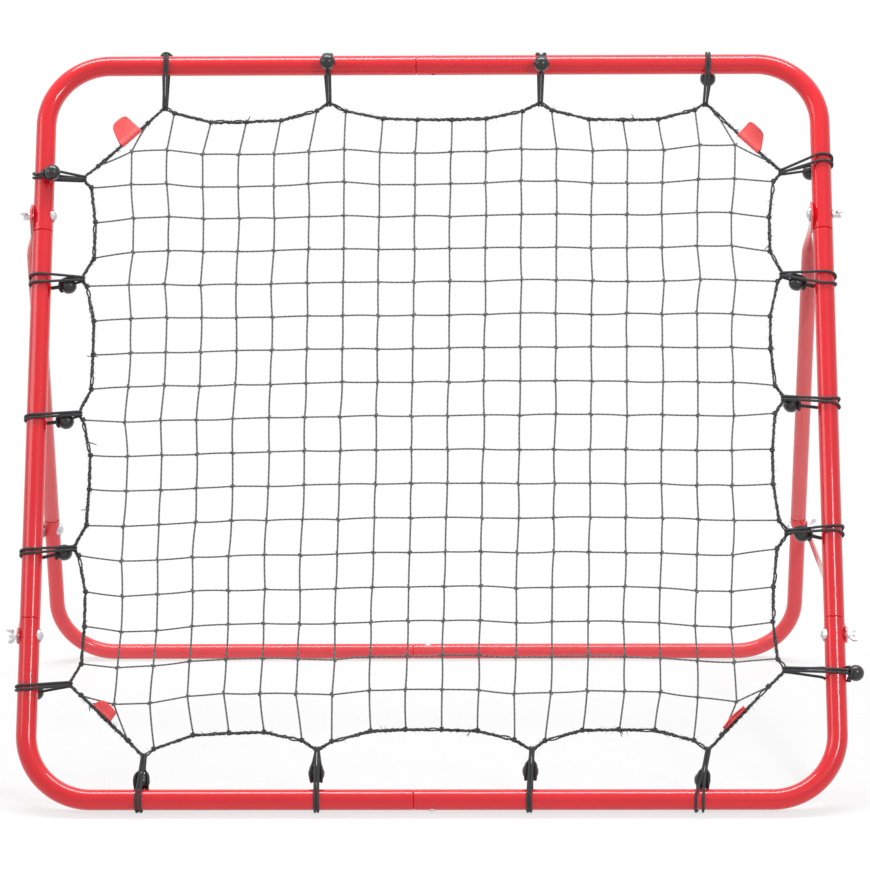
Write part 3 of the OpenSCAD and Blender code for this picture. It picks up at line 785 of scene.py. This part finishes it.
def make_net():
    net = Builder()
    for i in range(COLUMNS):
        stops = [TOP_TIES[i]] + KNOTS[i] + [BOTTOM_TIES[i]]
        net.tube(twine_line(stops), TWINE_R, TWINE_SIDES)
    for j in range(ROWS):
        stops = [LEFT_TIES[j]] + [KNOTS[i][j] for i in range(COLUMNS)] + [RIGHT_TIES[j]]
        net.tube(twine_line(stops), TWINE_R, TWINE_SIDES)
    for i in range(COLUMNS):
        for j in range(ROWS):
            spin = chance.uniform(-KNOT_SPIN, KNOT_SPIN)
            across = Vector((math.cos(spin), math.sin(spin), 0))
            up = Vector((-math.sin(spin), math.cos(spin), 0))
            add_knot(net, KNOTS[i][j], across, up)
    net.make("ball_return_net", TWINE, "grey_twine", "front_frame", ["net"])


# ---------------- the edge rope
ROPE_STEP = 1.5
STRANDS = 3
STRAND_R = 1.02
STRAND_SIDES = 6
STRAND_STRAY = 0.28
ROPE_PITCH = 21.0
# The strands lie close together at the loops, and swell and hurry by lumps between them.
OPEN_LUMPS = 170
TIGHT_R = 1.0
TIGHT_LEN = 14.0
OPEN_R = 0.6
HURRY = 1.8
FLATNESS = 0.8
# Beside a tie the strands can part and leave a lens-shaped gap, mostly near the loops.
LENS_LEN = 17.0
LENS_R = 2.1
LENS_OFF = 0.62
LENS_NEAR = 24.0
LENS_CHANCE_NEAR = 0.85
LENS_CHANCE_FAR = 0.3
TIE_MERGE = 2.0


def between(values, k):
    """The value at place k of a closed list, blended from its two neighbours."""
    a, b = values[int(k) % len(values)], values[(int(k) + 1) % len(values)]
    return a + (b - a) * ease(k - int(k))


def rope_core():
    """The rope runs straight from one tie or loop to the next."""
    n = len(EDGE)

    def along(p):
        i = min(range(n), key=lambda k: (EDGE[k] - p).length)
        run = EDGE[(i + 1) % n] - EDGE[i - 1]
        return i + 2 * (p - EDGE[i]).dot(run) / run.length_squared

    stops = sorted(PINCHES + TIES, key=along)
    stops = [p for i, p in enumerate(stops) if (p - stops[i - 1]).length > TIE_MERGE]
    line = resampled(stops, ROPE_STEP, closed=True)
    return [(line[i - 1] + p * 2 + line[(i + 1) % len(line)]) * 0.25
            for i, p in enumerate(line)]


def make_rope():
    rope = Builder()
    core = rope_core()
    n = len(core)
    length = n * ROPE_STEP
    turns = round(length / ROPE_PITCH)
    loose = [chance.uniform(0.0, 1.0) ** 3 for _ in range(OPEN_LUMPS)]
    hurry = [chance.uniform(-1.0, 1.0) for _ in range(OPEN_LUMPS)]
    pinch_at = [nearest(core, p) for p in PINCHES]
    lenses = []
    for p in TIES:
        by_loop = min((p - q).length for q in PINCHES) < LENS_NEAR
        if chance.random() < (LENS_CHANCE_NEAR if by_loop else LENS_CHANCE_FAR):
            off = round(LENS_LEN * LENS_OFF / ROPE_STEP)
            lenses.append(nearest(core, p) + chance.choice((-1, 1)) * off)
    for strand in range(STRANDS):
        own = [stray(STRAND_STRAY) for _ in range(n // 3)]
        line = []
        for i, p in enumerate(core):
            f = i / n
            way = (core[(i + 1) % n] - core[i - 1]).normalized()
            side = Vector((-way.y, way.x, 0))
            k = f * OPEN_LUMPS
            swell, lead = between(loose, k), between(hurry, k)
            gap = min(min(abs(i - q), n - abs(i - q)) for q in pinch_at) * ROPE_STEP
            near = min(1.0, gap / TIGHT_LEN)
            r = TIGHT_R + near * OPEN_R * swell
            angle = FULL_TURN * turns * f + HURRY * lead
            for q in lenses:
                away = abs((i - q + n // 2) % n - n // 2) * ROPE_STEP * 2 / LENS_LEN
                if away < 1:
                    flat = math.pi * round((FULL_TURN * turns * q / n) / math.pi)
                    angle += (flat - angle) * (1 - away ** 4)
                    r = max(r, LENS_R * (1 - away * away))
            angle += FULL_TURN * strand / STRANDS
            line.append(p + side * (r * math.cos(angle)) + between(own, f * len(own))
                        + FORWARD * (r * FLATNESS * math.sin(angle)))
        rope.tube(line, STRAND_R, STRAND_SIDES, closed=True)
    add_ties(rope, core)
    add_tails(rope)
    add_fuzz(rope, core)
    rope.make("edge_rope_twisted", ROPE, "grey_twine", "front_frame", ["edge_rope"])


def nearest(core, at):
    return min(range(len(core)), key=lambda i: (core[i] - at).length)


HITCH_R, HITCH_WAVE, HITCH_LEN = 2.35, 0.25, 4.4
HITCH_TURNS, HITCH_STEPS = 2.3, 24
HITCH_TWINE_R = 0.85
# The crossing lies on the net's side of the rope: its places along the rope and forwards.
CROSSING = ((-2.2, 0.6), (-0.8, 1.3), (0.8, 1.2), (2.2, 0.2))
CROSSING_IN = 2.6
CROSSING_R = 0.95


def add_ties(rope, core):
    """Each mesh twine is hitched round the rope: two turns and a crossing."""
    n = len(core)
    for at in TIES:
        i = nearest(core, at)
        way = (core[(i + 1) % n] - core[i - 1]).normalized()
        side = Vector((-way.y, way.x, 0))
        centre = core[i]
        hitch = []
        for k in range(HITCH_STEPS + 1):
            f = k / HITCH_STEPS
            a = FULL_TURN * HITCH_TURNS * f
            r = HITCH_R + HITCH_WAVE * math.sin(5 * a)
            hitch.append(centre + way * (HITCH_LEN * (f - 0.5)) + side * (r * math.cos(a))
                         + FORWARD * (r * math.sin(a)))
        rope.tube(hitch, HITCH_TWINE_R, KNOT_SIDES)
        inner = centre + side * CROSSING_IN
        crossing = [inner + way * x + Vector((0, 0, z)) for x, z in CROSSING]
        rope.tube(crossing, CROSSING_R, KNOT_SIDES)


TAIL_PLACES = [
    (-232, 868), (-420, 445), (-424, 360), (426, 568), (417, 262), (30, 862), (-60, 866),
    (250, 866), (-200, 80), (52, 84), (230, 82), (424, 700), (-414, 560), (-398, 130),
]
TAIL_REACH = (5, 9)
TAIL_RISE = (-0.3, 0.6)
TAIL_BEND = 3
TAIL_R, TAIL_TAPER = 0.75, 0.25
TAIL_STEPS = (0, 0.35, 0.7, 1)


def sprig(at, way, bend, reach, steps):
    """A fibre that leaves the rope along way and bends sideways."""
    side = Vector((-way.y, way.x, 0)) * bend
    return [at + way * (reach * f) + side * (f * f) for f in steps]


def add_tails(rope):
    """Short cut ends of twine that stand off the rope."""
    for u, w in TAIL_PLACES:
        at = min(EDGE, key=lambda p: (p - Vector((u, w, 0))).length)
        for _ in range(2):
            a = chance.uniform(0, FULL_TURN)
            way = Vector((math.cos(a), math.sin(a), chance.uniform(*TAIL_RISE))).normalized()
            bend = chance.uniform(-TAIL_BEND, TAIL_BEND)
            line = sprig(at, way, bend, chance.uniform(*TAIL_REACH), TAIL_STEPS)
            rope.tube(line, lambda f: TAIL_R - TAIL_TAPER * f, KNOT_SIDES)


FUZZ = 2600
CORNER_FUZZ = 150
CORNER_STEPS = 20
FUZZ_REACH, FUZZ_MORE, FUZZ_BEND = 3.0, 1.9, 1.5
FUZZ_R, FUZZ_TAPER = 0.22, 0.12
FUZZ_STEPS = (0.2, 0.6, 1)
FUZZ_SIDES = 3


def add_fuzz(rope, core):
    """Loose fibres along the rope, thickest at the corner tabs."""
    spots = [chance.randrange(len(core)) for _ in range(FUZZ)]
    for place in [nearest(core, middle) for middle in TAB_MIDDLES]:
        spots += [(place + chance.randrange(-CORNER_STEPS, CORNER_STEPS)) % len(core)
                  for _ in range(CORNER_FUZZ)]
    for spot in spots:
        way = stray(1).normalized()
        bend = chance.uniform(-FUZZ_BEND, FUZZ_BEND)
        reach = FUZZ_REACH + abs(chance.gauss(0, FUZZ_MORE))
        line = sprig(core[spot], way, bend, reach, FUZZ_STEPS)
        rope.tube(line, lambda f: FUZZ_R - FUZZ_TAPER * f, FUZZ_SIDES, caps=False)


# ---------------- elastic loops
def ball_at(row):
    return Vector((row.ball_along, row.ball_out, row.ball_front))


def start_angle(row):
    o = row.turn * row.ball_front
    d = math.hypot(row.ball_out, o)
    a = math.atan2(o, row.ball_out)
    if a > math.pi / 2:
        a -= FULL_TURN
    return a + math.acos(min(1.0, WRAP_R / d))


def end_angle(row):
    d = math.hypot(row.reach, TURN_R)
    return math.atan2(TURN_R, -row.reach) - math.acos(WRAP_R / d)


def on_wrap(row, angle, along, r=WRAP_R):
    return Vector((along, r * math.cos(angle), row.turn * r * math.sin(angle)))


def leave_point(row):
    return on_wrap(row, start_angle(row), row.ball_along + row.start)


def ball_way(row):
    return (leave_point(row) - ball_at(row)).normalized()


WRAP_STEPS = 22
TURN_STEPS = 9
ALONG = Vector((1, 0, 0))
# On the way round the tube: how fast the strands drift to their places, how fast the upper one
# of a stack comes down, and how far and how long a pair beside a high ball spreads.
DRIFT_RATE = 1.6
DROP_RATE = 1.9
PAIR_SPREAD = 3.2
PAIR_LEN = 0.7


def strand(row, side):
    """From inside the ball, round the tube, to the place where it leaves for the net."""
    a0, a1 = start_angle(row), end_angle(row)
    half = STRAND_GAP / 2
    stacked = row.back == "stacked"
    centre, way = ball_at(row), ball_way(row)
    leave = leave_point(row)
    over = way.cross(ALONG).normalized()
    if over.dot(Vector((0, leave.y, leave.z))) < 0:
        over = -over
    spread = over if stacked else ALONG
    line = [centre + way * d + spread * (side * half) for d in (1, BALL_R * 0.6, BALL_R + 1)]
    for k in range(WRAP_STEPS + 1):
        f = k / WRAP_STEPS
        g = ease(min(1.0, DRIFT_RATE * f))
        near = g if stacked else 1.0
        along = ((1 - g) * (row.ball_along + row.start + side * half * near)
                 + g * (row.tube_at + side * row.apart / 2))
        along += side * row.splay * math.exp(-((a0 + (a1 - a0) * f) ** 2))
        if row.turn < 0 and row.back == "between":
            along += side * PAIR_SPREAD * math.sin(math.pi * min(1.0, f / PAIR_LEN))
        lifted = STRAND_GAP * max(0.0, 1 - DROP_RATE * g) if stacked and side > 0 else 0.0
        line.append(on_wrap(row, a0 + (a1 - a0) * f, along, WRAP_R + lifted))
    return line


def over_rope(row, along, drift):
    """Half a turn round the rope, from the side of the strands to the other side."""
    line = []
    for k in range(TURN_STEPS + 1):
        f = k / TURN_STEPS
        a = TURN_FROM + (TURN_TO - TURN_FROM) * f
        line.append(Vector((
            along + drift * f, -row.reach - TURN_SHIFT + TURN_R * math.cos(a),
            row.turn * TURN_R * math.sin(a),
        )))
    return line


def ball_axes(row):
    """The way out of the ball, to the side of one return strand, and round behind its neck."""
    way = ball_way(row)
    front_way = (FORWARD - way * way.z).normalized()
    if row.back == "stacked":
        return way, front_way, -ALONG
    if row.back in ("sides", "gathered") and row.ball_front < 0:
        return way, ALONG, -front_way
    over = way.cross(ALONG)
    to_net = Vector((0, -row.reach - row.ball_out, -row.ball_front))
    return way, ALONG, (-over if over.dot(to_net) > 0 else over)


# The cord's middle line beside the ball, and where it hooks over the ball's neck.
BALL_GAP = 0.15
CLEAR = BALL_R + CORD_R + BALL_GAP
NECK_RIDE = BALL_R * 0.98
NECK_FROM, NECK_SWEEP, NECK_STEPS = -0.22, 1.44, 12
# Gathered return strands: how far from the ball they meet, half their distance there, and the
# share of the way to the rope at which the outgoing strands meet.
GATHER_AT = BALL_R * 1.45
GATHER_HALF = 1.72
MERGE_SHARE = 0.4
# Return strands between ball and tube.
BETWEEN_SWEEP = math.radians(34)
BETWEEN_GAP = 0.1
BETWEEN_STEPS = 8
BIGHT_STEP = 1.2
BIGHT_PASSES = 4


def neck_turn(row):
    """The end of the loop, hooked over the two strands where they come out of the ball."""
    centre = ball_at(row)
    way, side, over = ball_axes(row)
    r = math.sqrt(CLEAR ** 2 - NECK_RIDE ** 2)
    line = []
    for k in range(NECK_STEPS + 1):
        a = math.pi * (NECK_FROM + NECK_SWEEP * k / NECK_STEPS)
        line.append(centre + way * NECK_RIDE + side * (r * math.cos(a)) + over * (r * math.sin(a)))
    return line


def waist(row, sign):
    """Where a return strand passes the ball's middle."""
    _, side, over = ball_axes(row)
    a = math.radians(row.around)
    return ball_at(row) + (side * (sign * math.sin(a)) - over * math.cos(a)) * CLEAR


def pushed_out(row, points):
    """Keeps a return strand outside the ball and the tube."""
    centre = ball_at(row)
    out = []
    for p in points:
        away = p - centre
        if away.length < CLEAR:
            p = centre + away * (CLEAR / away.length)
        flat = math.hypot(p.y, p.z)
        if flat < WRAP_R:
            p = Vector((p.x, p.y * WRAP_R / flat, p.z * WRAP_R / flat))
        out.append(p)
    return out


def bight(row, start, finish):
    """From the rope back to the ball, round its neck, and back to the rope."""
    neck = neck_turn(row)
    if row.back == "between":
        centre = ball_at(row)
        angle = math.atan2(centre.z, centre.y)
        sweep = BETWEEN_SWEEP if centre.z > 0 else -BETWEEN_SWEEP
        there, back = [], []
        r = WRAP_R + BETWEEN_GAP
        for k in range(BETWEEN_STEPS + 1):
            a = angle + sweep * (1 - 2 * k / BETWEEN_STEPS)
            y, z = r * math.cos(a), r * math.sin(a)
            there.append(Vector((centre.x + row.around, y, z)))
            back.append(Vector((centre.x - row.around, y, z)))
        return there + neck[2:-2] + back[::-1]
    there, back = [start], [finish]
    if row.back == "gathered":
        middle = (start + finish) * 0.5 - ball_at(row)
        middle *= GATHER_AT / middle.length
        for side, part in ((1, there), (-1, back)):
            part.append(ball_at(row) + middle + Vector((side * GATHER_HALF, 0, 0)))
    line = there + [waist(row, 1)] + neck + [waist(row, -1)] + back[::-1]
    line = resampled(line, BIGHT_STEP)
    for _ in range(BIGHT_PASSES):
        line = rounded_off(pushed_out(row, line), 2)
    return pushed_out(row, line)[1:-1]


def loop_line(row):
    """The whole loop: both ends in the ball, round the tube, over the rope, over the ball."""
    half = STRAND_GAP / 2
    out = strand(row, 1)
    first = over_rope(row, row.net_at + half, -ROPE_DRIFT)
    second = over_rope(row, row.net_at - half, ROPE_DRIFT)
    start, finish = first[-1], second[-1]
    home = strand(row, -1)
    if row.back == "gathered":
        merged = row.tube_at + (row.net_at - row.tube_at) * MERGE_SHARE
        for line, turn, side in ((out, first, 1), (home, second, -1)):
            at = line[-1].lerp(turn[0], MERGE_SHARE)
            line.append(Vector((merged + side * half, at.y, at.z)))
    return out + first + bight(row, start, finish) + second[::-1] + home[::-1]


SIDES = {
    "top": (TOP_LOOPS, lambda p: Vector((p.x, FRAME_H + p.y, p.z))),
    "bottom": (BOTTOM_LOOPS, lambda p: Vector((p.x, -p.y, p.z))),
    "left": (LEFT_LOOPS, lambda p: Vector((-HALF_W - p.y, p.x, p.z))),
    "right": (RIGHT_LOOPS, lambda p: Vector((HALF_W + p.y, p.x, p.z))),
}
CORD_STEP = 1.6
CORD_SIDES = 10
CORD_PASSES = 3
BALL_SIDES = 36
BALL_STEPS = 40
PARTING_HALF = 0.05
PARTING_DEPTH = 0.22
HOLE_R = 3.9
LIP = 0.7
# The hole's lip and inside: radius and height from the hole's edge.
LIP_PROFILE = ((0.3, 0.15), (0, -0.25), (0, -6.5), (-3.7, -7.0))


def ball_profile():
    """Sphere with a parting line round its middle and a hole with a rounded lip."""
    out = [(0.15, -BALL_R)]
    last = math.asin((HOLE_R + LIP) / BALL_R)
    for k in range(1, BALL_STEPS + 1):
        a = math.pi - (math.pi - last) * k / BALL_STEPS
        parting = abs(a - math.pi / 2) < PARTING_HALF
        r = BALL_R - PARTING_DEPTH if parting else BALL_R
        out.append((r * math.sin(a), r * math.cos(a)))
    top = BALL_R * math.cos(last)
    return out + [(HOLE_R + r, top + h) for r, h in LIP_PROFILE]


def make_loops():
    profile = ball_profile()
    for side, (rows, place) in SIDES.items():
        cords, balls = Builder(), Builder()
        for row in rows:
            line = resampled([place(p) for p in loop_line(row)], CORD_STEP)
            cords.tube(rounded_off(line, CORD_PASSES), CORD_R, CORD_SIDES)
            way = place(ball_way(row)) - place(Vector((0, 0, 0)))
            balls.lathe(profile, place(ball_at(row)), way, BALL_SIDES)
        cords.make(f"{side}_elastic_loops", CORD, "elastic_cord", "front_frame",
                   [f"{side}_bungee_cords"])
        balls.make(f"{side}_loop_balls", BALL, "black_ball", "front_frame",
                   [f"{side}_bungee_balls"])


# ---------------- corner tabs
# Each row: the pinches on both sides, the share of the way between them, how far the free end
# turns to the front, how much it curls on, its reach, the width of its free end and its slant.
# Then the length of its fold, how far it is sewn to the net's side of the rope, and the fold's
# radius.
TABS = {
    "upper_right": (4, 5, 0.43, 18, 24, 22.5, 23.5, 5, 35, 0, 3.5),
    "upper_left": (8, 9, 0.42, 4, 10, 27, 23.5, -2.5, 32, 0, 3.5),
    "lower_left": (13, 14, 0.42, 150, 10, 12.5, 24, 2, 29, 4.6, 1.7),
    "lower_right": (17, 0, 0.37, 92, 12, 8.5, 33, 1, 35.5, 4.7, 2.3),
}
TAB_STEPS = 12
TAB_COLUMNS = 17
# Rounding of the free end, half the gap between the layers and how it opens, the seam beside the
# fold, how much shorter the under layer is, and a slight wave.
TAB_ROUND = 0.16
TAB_LAYER = 0.55
TAB_OPEN = 1.6
TAB_SEAM = 2.0
TAB_SHORT = 1.5
TAB_WAVE, WAVE_ACROSS, WAVE_OUT = 0.9, 5.2, 2.1
TAB_THICK = 0.0006
# The fold's arc round the rope, in half turns.
FOLD_FROM, FOLD_SWEEP = 0.16, 1.68
TAB_MIDDLES = [PINCHES[a].lerp(PINCHES[b], share) for a, b, share, *_ in TABS.values()]


def tab_sheet(a, b, share, tilt, curl, reach, end_width, slant, fold_len, inward, fold_r):
    """Strip folded round the rope, its two layers sewn together beside it."""
    middle = PINCHES[a].lerp(PINCHES[b], share)
    along = (PINCHES[b] - PINCHES[a]).normalized()
    away = Vector((along.y, -along.x, 0))
    middle -= away * inward
    tilt, curl = math.radians(tilt), math.radians(curl)
    seam, under = fold_r + TAB_SEAM, reach - TAB_SHORT
    steps = [k / TAB_STEPS for k in range(TAB_STEPS + 1)]
    section = [(reach + (seam - reach) * f, TAB_LAYER * (1 + TAB_OPEN * (1 - f)), 1)
               for f in steps]
    for f in steps:
        a = math.pi * (FOLD_FROM + FOLD_SWEEP * f)
        section.append((fold_r * math.cos(a), fold_r * math.sin(a), 0))
    section += [(seam + (under - seam) * f, -TAB_LAYER * (1 + TAB_OPEN * f), 1) for f in steps]
    out = Builder()
    cols = TAB_COLUMNS
    run = [0.0]
    for p, q in zip(section, section[1:]):
        run.append(run[-1] + math.hypot(q[0] - p[0], q[1] - p[1]))
    for x, y, flat in section:
        f = max(0.0, (x - fold_r) / (reach - fold_r))
        turn = tilt + curl * f * f
        base = tilt + curl * f * f / 3
        for c in range(cols):
            g = c / (cols - 1) - 0.5
            width = fold_len + (end_width - fold_len) * f
            kept = 1 - TAB_ROUND * f * (2 * g) ** 4
            wave = flat * TAB_WAVE * math.sin(WAVE_ACROSS * g + WAVE_OUT * f) * f
            normal_x, normal_z = -math.sin(turn), math.cos(turn)
            px = x * kept * math.cos(base) + (y + wave) * normal_x
            pz = x * kept * math.sin(base) + (y + wave) * normal_z
            out.verts.append(middle + along * (g * width + slant * f) + away * px + FORWARD * pz)
    for i in range(len(section) - 1):
        for c in range(cols - 1):
            k = i * cols + c
            u0, u1 = (x / (cols - 1) * fold_len * MM for x in (c, c + 1))
            v0, v1 = run[i] * MM, run[i + 1] * MM
            out.face((k, k + 1, k + cols + 1, k + cols), ((u0, v0), (u1, v0), (u1, v1), (u0, v1)))
    return out, fold_len, run[-1]


def make_tabs():
    for corner, row in TABS.items():
        built, fold_len, length = tab_sheet(*row)
        piece = built.make(f"{corner}_tab_fabric", FABRIC, "red_fabric", "front_frame",
                           [f"{corner}_corner_tab"])
        thick = piece.modifiers.new("thickness", "SOLIDIFY")
        thick.thickness = TAB_THICK
        thick.offset = 0.0


make_net()
make_rope()
make_loops()
make_tabs()


# ---------------- floor and light
FLOOR_HALF = 12.0
FLOOR_TONE = 0.84
# To the camera the floor glows white outside a soft-edged circle. Within it, this share is glow
# and the rest shows the part's shadow.
FLOOR_GLOW = 0.72
FLOOR_MIDDLE = (0.0, 0.3, 0.0)
FLOOR_FADE = (0.55, 1.15)
# The world's strength as light, at the horizon and above WORLD_RISE.
WORLD_LOW = 0.45
WORLD_HIGH = 0.27
WORLD_RISE = 0.5


def make_floor():
    mesh = bpy.data.meshes.new("floor")
    corners = [(x * FLOOR_HALF, y * FLOOR_HALF, 0) for x, y in ((-1, -1), (1, -1), (1, 1), (-1, 1))]
    mesh.from_pydata(corners, [], [(0, 1, 2, 3)])
    floor = bpy.data.objects.new("floor", mesh)
    bpy.context.scene.collection.objects.link(floor)
    n = new_material("studio_floor")
    n.shader(Base_Color=(FLOOR_TONE, FLOOR_TONE, FLOOR_TONE, 1), Roughness=0.9)
    offset = n.fed("VectorMath", {"operation": "SUBTRACT"}, n.place(), FLOOR_MIDDLE)
    far = n.fed("VectorMath", {"operation": "LENGTH"}, offset.outputs[0])
    fade = n.level(far.outputs["Value"], FLOOR_FADE, UNIT)
    glow = n.add("Emission", Color=(1, 1, 1, 1), Strength=1.0)
    share = n.times(n.level(fade, UNIT, (FLOOR_GLOW, 1.0)), n.seen())
    mix = n.fed("MixShader", None, share, n.bsdf.outputs[0], glow.outputs[0])
    n.put(n.tree.nodes["Material Output"].inputs["Surface"], mix.outputs[0])
    mesh.materials.append(n.owner)


def make_world():
    """White to the camera; as light it is brightest at the horizon and dimmer overhead."""
    world = bpy.data.worlds.new("studio")
    bpy.context.scene.world = world
    n = Nodes(world)
    way = n.add("SeparateXYZ", Vector=n.add("TexCoord").outputs["Generated"])
    dome = n.level(way.outputs["Z"], (0.0, WORLD_RISE), (WORLD_LOW, WORLD_HIGH))
    back = n.tree.nodes["Background"]
    n.put(back.inputs["Color"], (1, 1, 1, 1))
    n.put(back.inputs["Strength"], n.level(n.seen(), UNIT, (dome, 1.0)))


def softbox(name, at, aim, width, height, power):
    data = bpy.data.lights.new(name, "AREA")
    data.shape = "RECTANGLE"
    data.size = width
    data.size_y = height
    data.energy = power
    lamp = bpy.data.objects.new(name, data)
    lamp.location = at
    lamp.rotation_euler = (Vector(aim) - Vector(at)).to_track_quat("-Z", "Y").to_euler()
    bpy.context.scene.collection.objects.link(lamp)


make_floor()
make_world()
softbox("overhead", at=(0.0, 0.85, 2.9), aim=(0, 0.3, 0.4), width=2.8, height=0.7, power=84)
softbox("left_broad", at=(-2.35, -0.35, 1.7), aim=(-0.4, 0.3, 0.45), width=1.6, height=1.1,
        power=15)
softbox("right_narrow", at=(1.3, -1.63, 1.9), aim=(0.4, 0.15, 0.3), width=0.4, height=0.8,
        power=22)

bpy.context.scene.view_settings.view_transform = "Standard"
